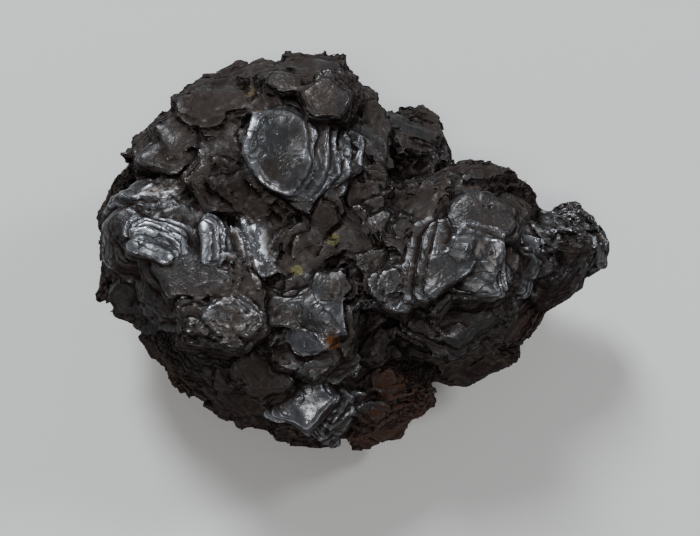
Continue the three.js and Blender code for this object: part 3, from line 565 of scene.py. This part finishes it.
def grow(samples, low, high, crystals, known):
    """The field of the whole stone, which crystal owns each sample, and the bent coordinates."""
    bent = []
    for i, axis in enumerate(samples.axes):
        place = np.broadcast_to(upright(axis, i), samples.count).copy()
        for order, (wavelength, size) in enumerate(BEND):
            place += size * samples.noise(wavelength, SEED + 10 * i + order)
        bent.append(place)
    wanders = []
    for number in range(2):
        parts = [
            size * samples.noise(wavelength, SEED + 50 + 10 * number + order)
            for order, (wavelength, size) in enumerate(WANDER)
        ]
        wanders.append(sum(parts))
    field = np.full(samples.count, FAR, np.float32)
    owner = np.full(samples.count, len(crystals), np.uint16)
    for number, lump in enumerate(LUMPS.values()):
        room = samples.window(lump["at"], np.array(lump["half"]) * (1 + SKIN / min(lump["half"])))
        away = sum(((bent[i][room] - lump["at"][i]) / lump["half"][i]) ** 2 for i in range(3))
        found = (np.sqrt(away) - 1) * min(lump["half"])
        owner[room][found < field[room]] = len(crystals) + number
        field[room] = np.minimum(field[room], found)
    field += ORE_RELIEF * wanders[0] + ORE_GRAIN[1] * samples.noise(ORE_GRAIN[0], SEED + 90)
    for one in crystals:
        room = samples.window(*one.room())
        before = field[room]
        offset = [bent[i][room] - np.float32(one.middle[i]) for i in range(3)]
        z = sum(offset[i] * np.float32(one.out[i]) for i in range(3))
        near = (before > -SKIN) & (z < SKIN)
        offset = [way[near] for way in offset]
        x, y = (
            sum(offset[i] * np.float32(way[i]) for i in range(3)) for way in (one.level, one.up)
        )
        found = one.distance(x, y, z[near], wanders[0][room][near], wanders[1][room][near])
        before = before[near]
        owner[room][near] = np.where(found < before, one.index, owner[room][near])
        field[room][near] = soft_min(before, found, JOIN)
    cut_growth(samples, field, owner, bent, wanders[1], known)
    for order, (wavelength, size) in enumerate(GRAIN):
        field += size * samples.noise(wavelength, SEED + 95 + order)
    for i, axis in enumerate(samples.axes):
        beyond = np.maximum(low[i] - axis, axis - high[i]) - SPARE
        field = soft_max(field, upright(beyond.astype(np.float32), i), JOIN)
    return np.maximum(field, upright(-samples.axes[2], 2)), owner, bent


def skin(field):
    """Points and quads where the field is zero, in counts of samples."""
    solid = field < 0
    corners = [np.array(c) for c in np.ndindex(2, 2, 2)]

    def corner_of(grid, c):
        return grid[tuple(slice(c[i], grid.shape[i] - 1 + c[i]) for i in range(3))]

    filled = sum(corner_of(solid, c).astype(np.uint8) for c in corners)
    cells = np.argwhere((filled > 0) & (filled < 8))
    number = np.full(filled.shape, -1, np.int32)
    number[tuple(cells.T)] = np.arange(len(cells))
    values = {tuple(c): field[tuple((cells + c).T)] for c in corners}
    total = np.zeros((len(cells), 3))
    count = np.zeros(len(cells))
    for start in corners:
        for axis in range(3):
            if start[axis]:
                continue
            end = start.copy()
            end[axis] = 1
            a, b = values[tuple(start)], values[tuple(end)]
            crossed = (a < 0) != (b < 0)
            t = np.where(crossed, a / np.where(crossed, a - b, 1), 0)
            total += crossed[:, None] * start
            total[:, axis] += t
            count += crossed
    points = cells + total / count[:, None]
    quads = []
    for axis in range(3):
        p, q = (axis + 1) % 3, (axis + 2) % 3
        near = [slice(None)] * 3
        far = [slice(None)] * 3
        near[axis], far[axis] = slice(0, -1), slice(1, None)
        for other in (p, q):
            near[other] = far[other] = slice(1, -1)
        before, after = solid[tuple(near)], solid[tuple(far)]
        for leaving in (True, False):
            edges = np.argwhere((before != after) & (before == leaving))
            edges[:, p] += 1
            edges[:, q] += 1
            around = []
            for dp, dq in ((1, 1), (0, 1), (0, 0), (1, 0)):
                cell = edges.copy()
                cell[:, p] -= dp
                cell[:, q] -= dq
                around.append(number[tuple(cell.T)])
            ring = np.stack(around, 1)
            quads.append(ring if leaving else ring[:, ::-1])
    return points, np.concatenate(quads)


def mesh_from(name, points, quads):
    """A mesh with these points and quads."""
    mesh = bpy.data.meshes.new(name)
    mesh.vertices.add(len(points))
    mesh.vertices.foreach_set("co", points.astype(np.float32).ravel())
    mesh.loops.add(quads.size)
    mesh.loops.foreach_set("vertex_index", quads.astype(np.int32).ravel())
    mesh.polygons.add(len(quads))
    mesh.polygons.foreach_set("loop_start", np.arange(0, quads.size, 4, dtype=np.int32))
    mesh.polygons.foreach_set("loop_total", np.full(len(quads), 4, np.int32))
    mesh.update(calc_edges=True)
    mesh.validate()
    return mesh


def corners_of(mesh):
    """The places and the normals of a mesh's points."""
    found = []
    for name in ("co", "normal"):
        values = np.zeros(len(mesh.vertices) * 3, np.float32)
        mesh.vertices.foreach_get(name, values)
        found.append(values.reshape(-1, 3))
    return found


def thinned(mesh, faces):
    """The mesh with about that many triangles, as an object. Its underside is thinned first, and
    nothing of it reaches under the floor."""
    piece = bpy.data.objects.new(mesh.name, mesh)
    bpy.context.scene.collection.objects.link(piece)
    places, normals = corners_of(mesh)
    under = np.flatnonzero((normals[:, 2] < UNDER) | (places[:, 2] < FOOT * MM))
    group = piece.vertex_groups.new(name="under")
    group.add(under.tolist(), 1, "REPLACE")
    first, then = (piece.modifiers.new(name, "DECIMATE") for name in ("under", "all"))
    first.vertex_group = group.name
    first.vertex_group_factor = EVER_SO_LITTLE
    first.ratio = 1 - (1 - UNDER_SHARE) * len(under) / len(places)
    then.ratio = faces / (2 * len(mesh.polygons) * first.ratio)
    for thin in (first, then):
        thin.use_collapse_triangulate = True
    ready = piece.evaluated_get(bpy.context.evaluated_depsgraph_get())
    result = bpy.data.meshes.new_from_object(ready)
    result.validate()
    places, _ = corners_of(result)
    places[:, 2] = np.maximum(places[:, 2], 0)
    result.vertices.foreach_set("co", places.ravel())
    result.update()
    piece.modifiers.clear()
    piece.vertex_groups.clear()
    piece.data = result
    bpy.data.meshes.remove(mesh)
    piece.data.name = piece.name
    return piece


def growth(places, who, crystals):
    """How far each place lies outside its crystal's plate, along the plate."""
    found = np.full(len(places), -float(FAR))
    for one in crystals:
        own = np.flatnonzero(who == one.index)
        offset = places[own] - one.middle
        x, y, z = (offset @ way for way in (one.level, one.up, one.out))
        shift = [way * np.maximum(-z, 0) for way in one.drift]
        found[own] = one.outside_rim(x, y, shift)
    return found


def mark_points(piece, samples, field, owner, bent, crystals, known):
    """Writes the marks on the stone's points, for the material to read; from them it paints highlights
    on sharp places and shade on hollow and steep ones. How sharp or hollow a place is comes from how
    much stone there is around it, near by and further off."""
    mesh = piece.data
    places, normals = corners_of(mesh)
    places = places.astype(float) / MM
    filled = np.clip(0.5 - field / CELL, 0, 1).astype(np.float32)
    near = samples.read(samples.blurred(filled, CELL), places)
    around, wide = (samples.read(samples.blurred(filled, reach), places) for reach in OUTLOOK)
    who = samples.nearest(owner, places + normals * 0.1)
    out = np.array([c.out for c in known])[who]
    middle = np.array([c.middle for c in known])[who]
    moved = np.stack([samples.read(grid, places) for grid in bent], 1)
    marks = [
        np.clip((0.5 - near) * 8 - 0.2, 0, 1),
        np.clip((near - 0.5) * 5 + (around - 0.5) * 3, 0, 1),
        np.clip((wide - 0.5) * 4, 0, 1),
        np.sum((middle - moved) * out, 1),
        growth(moved, who, crystals),
        1 - np.clip(np.sum(normals * out, 1), 0, 1),
        1 - np.clip(normals[:, 2], 0, 1),
    ]
    for name in MARKS[len(marks):]:
        values = np.array([getattr(c, name) for c in known], np.float32)[owner]
        marks.append(samples.read(samples.blurred(values, BLEND), places))
    for name, values in zip(MARKS, marks):
        attribute = mesh.attributes.new(name, "FLOAT", "POINT")
        attribute.data.foreach_set("value", values.astype(np.float32))


def lump_depth(point):
    """How deep a point lies in the lumps, and which way is out of the nearest one."""
    best = None
    for lump in LUMPS.values():
        half = np.array(lump["half"])
        place = (point - np.array(lump["at"])) / half
        away = np.linalg.norm(place)
        depth = (1 - away) * half.min()
        if best is None or depth > best[0]:
            way = place / half
            best = depth, way / np.linalg.norm(way)
    return best


def scales():
    """Small crystals all over the lumps."""
    chance = np.random.default_rng(SCALE_SEED)
    lumps = list(LUMPS.values())
    areas = np.array([np.prod(lump["half"]) ** (2 / 3) for lump in lumps])
    found = []
    while len(found) < SCALES:
        lump = lumps[chance.choice(len(lumps), p=areas / areas.sum())]
        way = chance.normal(size=3)
        point = np.array(lump["at"]) + np.array(lump["half"]) * way / np.linalg.norm(way)
        depth, out = lump_depth(point)
        if depth > SCALE_BURIED or point[2] < SCALE_LOWEST or point[0] > SNOUT_FROM:
            continue
        looks = angles_of(out + UPWARD + chance.normal(size=3) * 0.14)
        reach = chance.uniform(0.7, 1.9), chance.uniform(0.6, 1.3)
        found.append(crystal(
            point + out * chance.uniform(-0.1, 0.35), looks, reach,
            sides=int(chance.integers(4, 7)), turn=chance.uniform(0, 90),
            step=chance.uniform(0.2, 0.35), ledges=3, dome=0.05, depth=3,
            dull=chance.uniform(0.55, 1),
        ))
    return found


def buds(parent, chance):
    """The small crystals that have grown together with a crystal along its rim."""
    found = []
    for _ in range(parent.buds):
        angle = chance.uniform(0, 2 * math.pi)
        facing = np.array([math.cos(angle), math.sin(angle)])
        way = facing[0] * parent.level + facing[1] * parent.up
        reach = np.hypot(*(np.array(parent.reach) * facing)) * chance.uniform(0.65, 0.95)
        looks = angles_of(parent.out + chance.uniform(0, 0.25) * way + chance.normal(size=3) * 0.07)
        size = 0.5 + chance.uniform(0.2, 0.45) * min(parent.reach)
        found.append(crystal(
            parent.middle + reach * way - chance.uniform(-0.1, 0.9) * parent.out,
            looks, (size, size * chance.uniform(0.6, 1)), sides=int(chance.integers(4, 7)),
            turn=parent.turn + chance.normal() * 12, flare=0.7, dome=0.05, depth=4,
            step=chance.uniform(0.25, 0.45), ledges=3, hills=parent.hills,
            dull=min(parent.dull + abs(chance.normal()) * 0.15, 1), rust=parent.rust,
        ))
    return found


def stone_piece():
    table = list(CRYSTALS.values())
    for number, own in enumerate(CRYSTALS.values()):
        table += buds(Crystal(number, own), np.random.default_rng(BUD_SEED + number))
    crystals = [Crystal(i, own) for i, own in enumerate(table + scales())]
    low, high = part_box("prophecy_stone")
    low, high = np.array(low) / MM, np.array(high) / MM
    samples = Samples(low, high)
    ores = [{**ORE, "dull": lump.get("dull", 1)} for lump in LUMPS.values()]
    known = crystals + [Crystal(len(crystals) + i, ore) for i, ore in enumerate(ores)]
    field, owner, bent = grow(samples, low, high, crystals, known)
    points, quads = skin(field)
    places = (samples.low + points * CELL) * MM
    piece = thinned(mesh_from("stone", places, quads), FACES)
    piece.data.polygons.foreach_set("use_smooth", [True] * len(piece.data.polygons))
    mark_points(piece, samples, field, owner, bent, crystals, known)
    return piece


# ---------------------------------------------------------------- materials


class Socket:
    """An output socket of a material, on which arithmetic adds Math nodes."""

    def __init__(self, paint, output):
        self.paint = paint
        self.output = output

    def math(self, operation, *values):
        return self.paint.add("ShaderNodeMath", {"operation": operation}, dict(enumerate(values)))

    def __add__(self, other):
        return self.math("ADD", self, other)

    def __sub__(self, other):
        return self.math("SUBTRACT", self, other)

    def __rsub__(self, other):
        return self.math("SUBTRACT", other, self)

    def __mul__(self, other):
        return self.math("MULTIPLY", self, other)

    def __truediv__(self, other):
        return self.math("DIVIDE", self, other)

    __radd__ = __add__
    __rmul__ = __mul__

    def limited(self):
        """The value kept between 0 and 1."""
        return self.math("MINIMUM", self.math("MAXIMUM", self, 0), 1)

    def rising(self, low, high):
        """0 below low, 1 above high, and smooth between."""
        return self.paint.add(
            "ShaderNodeMapRange",
            {"interpolation_type": "SMOOTHSTEP"},
            {"Value": self, "From Min": low, "From Max": high},
        )


class Paint:
    """A material whose nodes are added one by one."""

    def __init__(self, name):
        self.material = bpy.data.materials.new(name)
        self.material.use_nodes = True
        self.tree = self.material.node_tree
        self.shader = self.tree.nodes["Principled BSDF"]

    def add(self, kind, settings=None, inputs=None, output=0):
        node = self.tree.nodes.new(kind)
        for name, value in (settings or {}).items():
            setattr(node, name, value)
        for name, value in (inputs or {}).items():
            self.join(value, node.inputs[name])
        return Socket(self, node.outputs[output])

    def join(self, value, target):
        if isinstance(value, Socket):
            self.tree.links.new(value.output, target)
        else:
            target.default_value = value

    def finish(self, values):
        """Sets the shader's inputs and gives the material."""
        for name, value in values.items():
            self.join(value, self.shader.inputs[name])
        return self.material

    def attribute(self, name):
        return self.add("ShaderNodeAttribute", {"attribute_name": name}, output="Fac")

    def millimetres(self):
        """The place on the piece, in millimetres."""
        place = self.add("ShaderNodeTexCoord", output="Object")
        return self.add("ShaderNodeVectorMath", {"operation": "SCALE"}, {0: place, "Scale": 1 / MM})

    def noise(self, place, size, detail=2, roughness=0.5, distortion=0):
        inputs = {
            "Vector": place, "Scale": 1 / size, "Detail": detail,
            "Roughness": roughness, "Distortion": distortion,
        }
        return self.add("ShaderNodeTexNoise", None, inputs, "Fac")

    def mixed(self, share, first, second):
        return self.add(
            "ShaderNodeMix",
            {"data_type": "RGBA"},
            {"Factor": share, 6: first, 7: second},
            output=2,
        )

    def ledges(self, count, riser):
        """Height, rim and crack of ledges that step down once for each whole number of count."""
        whole = self.add("ShaderNodeMath", {"operation": "FLOOR"}, {0: count})
        part = count - whole
        drop = part.rising(1 - riser, 1)
        rim = part.rising(1 - 2.2 * riser, 1 - 0.9 * riser) * (1 - drop)
        crack_shade = part.rising(1 - 0.7 * riser, 1 - 0.1 * riser) + (1 - part.rising(0, 0.5 * riser))
        return 0 - whole - drop, rim, crack_shade.limited()

    def hills(self, place, size):
        """Distance in millimetres to the top of the nearest growth hill."""
        turned = self.add(
            "ShaderNodeMapping", None, {"Vector": place, "Rotation": (0.955, 0.615, 0.785)}
        )
        away = self.add(
            "ShaderNodeTexVoronoi",
            {"distance": "CHEBYCHEV"},
            {"Vector": turned, "Scale": 1 / size},
            "Distance",
        )
        return away * size

    def fissures(self, place, size, width):
        """1 along thin crooked lines that cut the surface into blocks."""
        wander = self.add("ShaderNodeTexNoise", None, {"Vector": place, "Scale": 1 / size}, "Color")
        bent = self.add(
            "ShaderNodeVectorMath",
            {"operation": "MULTIPLY_ADD"},
            {0: wander, 1: (1.5, 1.5, 1.5), 2: place},
        )
        away = self.add(
            "ShaderNodeTexVoronoi",
            {"feature": "DISTANCE_TO_EDGE"},
            {"Vector": bent, "Scale": 1 / size},
            "Distance",
        )
        return 1 - away.rising(0.3 * width, width)

    def along(self, place, way):
        """How far a place lies along a direction."""
        return self.add(
            "ShaderNodeVectorMath", {"operation": "DOT_PRODUCT"}, {0: place, 1: way}, "Value"
        )

    def spot(self, place, middle, radius):
        """1 at the middle of a ball, in millimetres, falling to 0 at its radius."""
        away = self.add(
            "ShaderNodeVectorMath", {"operation": "DISTANCE"}, {0: place, 1: middle}, "Value"
        )
        return 1 - away.rising(0.3 * radius, radius)


# Colours of the bare crystals, from dull to most reflective, then the painted highlight on their rims
STEEL = (0.047, 0.048, 0.05, 1)
BROWN_STEEL = (0.048, 0.041, 0.037, 1)
MIRROR = (0.12, 0.124, 0.134, 1)
# the painted highlight on the rims of bare crystal
RIM_HIGHLIGHT_ON_METAL = (0.34, 0.35, 0.38, 1)
# Colours of the ore, of the painted shade on it, and of the painted highlight on its rims
LIMONITE = (0.03, 0.0225, 0.0195, 1)
DARK_ORE = (0.019, 0.0125, 0.0105, 1)
# the ore's dark maroon, which also paints shade on steep faces
MAROON_AND_SHADE = (0.0145, 0.0068, 0.006, 1)
# a painted highlight on the rims of the dull ore
RIM_HIGHLIGHT_ON_ORE = (0.085, 0.072, 0.066, 1)
# painted shade, near black, for cracks and hollows
CREVICE_SHADE = (0.011, 0.0075, 0.0065, 1)
RUST = (0.055, 0.024, 0.014, 1)
TAN = (0.12, 0.09, 0.055, 1)
OCHRE = (0.13, 0.12, 0.048, 1)
ORANGE = (0.16, 0.06, 0.016, 1)

# Middle and radius of the rusty places, and of the places with a coating and its colour
RUSTY_PLACES = (((5, -20, 12), 8), ((22, -6, 14), 6), ((-19, -15, 8), 6))
COATED_PLACES = (
    ((-2.1, -4.2, 25.8), 1.5, OCHRE), ((-6, -7.9, 25), 1.1, OCHRE),
    ((-11.8, 13, 27.6), 1.5, TAN), ((-10.4, 9.4, 28.5), 1.2, TAN), ((-2.2, -15.7, 24), 1.6, ORANGE),
)

# The fine ledges, in millimetres: how far apart the tops of the broad and of the small growth hills
# stand and how wide their treads are, then the treads around a plate, the layers of a wall, and the
# layers of the dull ore.
HILL_BROAD = (4.2, 0.9)
HILL_SMALL = (1.3, 0.34)
PLATE_TREAD = 0.85
WALL_PITCH = 0.5
STRATA_PITCH = 0.6


class Marks:
    """What a place on the stone is like: the marks on its points, and noises of four sizes."""

    def __init__(self, paint):
        self.place = paint.millimetres()
        for name in MARKS:
            setattr(self, name, paint.attribute(name))
        self.broad = paint.noise(self.place, 7, 3)
        self.patch = paint.noise(self.place, 2.2, 4, 0.6)
        self.speck = paint.noise(self.place, 0.5, 3, 0.6)
        self.fine = paint.noise(self.place, 0.16, 3, 0.65)
        self.mirror = 1 - self.dull.rising(0.04, 0.2)

    def earthiness_and_shade(self):
        """0 on bare crystal and 1 on the dull brown ore, as dull places are; hollow and steep places are
        pushed towards 1 too, which paints shade into them.
        """
        earth_and_shade = 0.8 * self.hollow + 0.5 * self.deep + 1.1 * self.steep.rising(0.35, 0.8)
        earth_and_shade = earth_and_shade + 0.5 * self.side + 1.15 * self.dull - 0.35 * self.edge
        uneven = 1.1 * (self.patch - 0.5) + 0.8 * (self.broad - 0.5) + 0.5 * (self.speck - 0.5)
        return (earth_and_shade + uneven).rising(0.5, 1.25)


def bare_metal(paint, marks):
    metal = paint.mixed(marks.broad.rising(0.35, 0.7), STEEL, BROWN_STEEL)
    return paint.mixed(marks.mirror, metal, MIRROR)


# The ore's colour: its own browns, rust and stains, with painted shade on steep faces and in hollows.
def ore_with_shade(paint, marks, earth_and_shade):
    rusty = marks.rust
    for middle, radius in RUSTY_PLACES:
        rusty = rusty + 0.6 * paint.spot(marks.place, middle, radius)
    uneven = 1.6 * (marks.patch - 0.55) + 0.8 * (marks.speck - 0.5)
    rusty = (rusty * earth_and_shade + uneven).rising(0.25, 1.3)
    tan = (marks.speck * marks.patch).rising(0.33, 0.42) * earth_and_shade * (1 - marks.deep)
    ore = paint.mixed(marks.dull.rising(0.7, 0.98), LIMONITE, DARK_ORE)
    # painted shade: steep faces darken to maroon
    ore = paint.mixed(marks.steep.rising(0.35, 0.8), ore, MAROON_AND_SHADE)
    ore = paint.mixed(0.8 * rusty, ore, RUST)
    # painted shade: hollow and deep places darken to near black
    ore = paint.mixed((marks.hollow + marks.deep).rising(0.4, 1.2), ore, CREVICE_SHADE)
    return paint.mixed(0.35 * tan.limited(), ore, TAN)


def coated(paint, marks, colour):
    """The colour with the coatings on it."""
    uneven = (marks.patch - 0.5) + 1.2 * (marks.speck - 0.5)
    for middle, radius, coating in COATED_PLACES:
        share = 1.5 * paint.spot(marks.place, middle, radius) + uneven
        colour = paint.mixed(0.75 * share.rising(0.7, 1.2), colour, coating)
    return colour


def fine_ledges(paint, marks):
    """Ledges too fine for the mesh. Gives how far a place is on a rim, how much painted highlight
    that rim gets, how much painted shade goes into cracks and hollows, and its height in millimetres."""
    wiggle = 0.9 * paint.noise(marks.place, 2.6, 1) + 0.15 * paint.noise(marks.place, 0.6, 2)
    # how far each kind of ledge shows: around a plate, on the hills, down a wall, and in dull ore
    flat = 1 - marks.side.rising(0.12, 0.35)
    whole = marks.patch.rising(0.4, 0.6) * marks.growth.rising(-0.9, -0.1) * flat
    hilly = 0.4 * (1 - whole) * (1 - marks.side.rising(0.3, 0.6)) * marks.patch.rising(0.5, 0.62)
    small = (0.2 + 0.6 * marks.dull.rising(0.1, 0.5)) * marks.broad.rising(0.35, 0.6)
    banded = 0.7 * (1 - flat) * marks.patch.rising(0.35, 0.6)
    layered = marks.dull.rising(0.45, 0.75) * marks.side.rising(0.15, 0.4)
    layered = layered * marks.patch.rising(0.3, 0.5)
    steps, step_rim, step_crack = paint.ledges(marks.growth / PLATE_TREAD + wiggle, 0.2)
    hills, hill_rim, hill_crack = paint.ledges(
        paint.hills(marks.place, HILL_BROAD[0]) / HILL_BROAD[1] + wiggle, 0.2
    )
    bumps, bump_rim, bump_crack = paint.ledges(
        paint.hills(marks.place, HILL_SMALL[0]) / HILL_SMALL[1] + wiggle, 0.3
    )
    walls, wall_rim, wall_crack = paint.ledges(marks.depth / WALL_PITCH + wiggle, 0.3)
    strata, strata_rim, strata_crack = paint.ledges(
        paint.along(marks.place, LAYER_TILT) / STRATA_PITCH + 1.4 * wiggle + 5 * marks.broad, 0.35
    )
    fissure = paint.fissures(marks.place, 3.4, 0.03) * (1 - marks.broad.rising(0.4, 0.55))
    fissure = fissure * (1 - 0.7 * marks.dull) * (1 - marks.mirror)
    rim = step_rim * whole + hill_rim * hilly + 0.5 * wall_rim * banded + 0.5 * bump_rim * small
    # painted highlight along the ledge rims and the sharp edges
    rim_highlight = 0.7 * step_rim * whole + 0.4 * wall_rim * banded + 0.95 * marks.edge
    rim_highlight = rim_highlight + 0.6 * strata_rim * layered
    # painted shade along the cracks beyond the rims, in the fissures and in the hollows
    crack_shade = step_crack * whole + hill_crack * hilly + 0.7 * wall_crack * banded + 0.7 * fissure
    crack_shade = crack_shade + 0.25 * bump_crack * small + 0.5 * strata_crack * layered
    crack_shade = crack_shade + 0.8 * marks.hollow.rising(0.35, 0.9)
    height = 0.1 * steps * whole + 0.08 * walls * banded + 0.06 * hills * hilly
    height = height + 0.025 * bumps * small + 0.1 * strata * layered - 0.08 * fissure
    return rim.limited(), rim_highlight.limited(), crack_shade.limited(), height


def iron_oxide():
    """Steel-grey crystals with painted rim highlights, in brown and maroon ore with painted shade."""
    paint = Paint("iron_oxide")
    marks = Marks(paint)
    earth_and_shade = marks.earthiness_and_shade()
    rim, rim_highlight, crack_shade, height = fine_ledges(paint, marks)
    metal_rim_highlight = rim_highlight * (1 - marks.dull.rising(0.15, 0.65)) * (1 - 0.8 * earth_and_shade)
    ore_rim_highlight = 0.5 * rim_highlight * marks.dull.rising(0.25, 0.75) * (1 - 0.6 * marks.deep)
    # the ore's colour with its painted shade, where a place is dull, hollow, steep or a side
    colour = paint.mixed(earth_and_shade, bare_metal(paint, marks), ore_with_shade(paint, marks, earth_and_shade))
    colour = coated(paint, marks, colour)
    # painted highlight on the rims of bare crystal, in light grey
    colour = paint.mixed((metal_rim_highlight * marks.patch.rising(0.25, 0.5)).limited(), colour, RIM_HIGHLIGHT_ON_METAL)
    # painted highlight on the rims of the dull ore, in a soft grey
    colour = paint.mixed(ore_rim_highlight.limited(), colour, RIM_HIGHLIGHT_ON_ORE)
    # painted shade in the cracks and hollows
    colour = paint.mixed(0.8 * crack_shade, colour, CREVICE_SHADE)
    grain = 0.05 * marks.patch + 0.3 * marks.patch * marks.rust
    grain = grain + 0.07 * marks.speck * (0.45 + earth_and_shade + marks.rust)
    grain = grain + 0.016 * marks.fine * (0.4 + earth_and_shade)
    bump = paint.add(
        "ShaderNodeBump", None, {"Strength": 1.0, "Distance": MM, "Height": height + grain}, "Normal"
    )
    roughness = 0.36 + 0.14 * marks.dull + 0.22 * earth_and_shade + 0.18 * (marks.speck - 0.5) + 0.3 * crack_shade
    roughness = roughness - 0.06 * marks.mirror - 0.12 * marks.edge - 0.14 * rim
    return paint.finish({
        "Base Color": colour,
        "Metallic": (0.9 - 0.85 * earth_and_shade - 0.6 * crack_shade + 0.4 * ore_rim_highlight).limited(),
        "Roughness": roughness.limited(),
        "Specular IOR Level": 0.12,
        "Normal": bump,
    })


def plain_floor():
    return Paint("floor").finish({"Base Color": (0.62, 0.62, 0.61, 1), "Roughness": 0.7})


# ---------------------------------------------------------------- room and camera

CAMERA_RISE = 66  # degrees above the horizon
CAMERA_AWAY = 170  # millimetres
CAMERA_AIM = (-0.3, -2.7, 14.2)
CAMERA_LENS = 75
FLOOR_SIZE = 4.0  # metres
LAMP_AIM = (0, 0, 15)
WORLD_LIGHT = 0.2


def stage():
    bpy.ops.mesh.primitive_plane_add(size=FLOOR_SIZE)
    floor = bpy.context.object
    floor.name = "floor"
    floor.data.materials.append(plain_floor())


def camera():
    rise = math.radians(CAMERA_RISE)
    back = Vector((0, -math.cos(rise), math.sin(rise)))
    data = bpy.data.cameras.new("camera")
    data.lens = CAMERA_LENS
    data.clip_start = 0.005
    view = bpy.data.objects.new("camera", data)
    view.location = (Vector(CAMERA_AIM) + back * CAMERA_AWAY) * MM
    view.rotation_euler = back.to_track_quat("Z", "Y").to_euler()
    bpy.context.scene.collection.objects.link(view)
    bpy.context.scene.camera = view


def lamp(name, azimuth, rise, away, size, watts, colour=(1, 1, 1)):
    """An oblong lamp that looks at the stone, placed by its angles and distance in metres."""
    toward = Vector(direction(azimuth, rise))
    data = bpy.data.lights.new(name, "AREA")
    data.shape = "RECTANGLE"
    data.size, data.size_y = size
    data.energy = watts
    data.color = colour
    light = bpy.data.objects.new(name, data)
    light.location = Vector(LAMP_AIM) * MM + toward * away
    light.rotation_euler = toward.to_track_quat("Z", "Y").to_euler()
    bpy.context.scene.collection.objects.link(light)


def room_light():
    lamp("window", 115, 50, 0.9, (0.22, 0.3), 8.0, (0.92, 0.96, 1.0))
    lamp("ceiling", 268, 60, 0.9, (0.3, 0.1), 3.0, (1.0, 0.97, 0.93))
    lamp("side", 20, 40, 0.9, (0.15, 0.15), 2.5, (0.92, 0.96, 1.0))
    world = bpy.data.worlds.new("room")
    world.use_nodes = True
    background = world.node_tree.nodes["Background"].inputs
    background["Color"].default_value = (0.94, 0.96, 1.0, 1)
    background["Strength"].default_value = WORLD_LIGHT
    bpy.context.scene.world = world


stone = stone_piece()
stone.data.materials.clear()
stone.data.materials.append(iron_oxide())
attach(stone, "root")
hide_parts("prophecy_stone")
stage()
camera()
room_light()
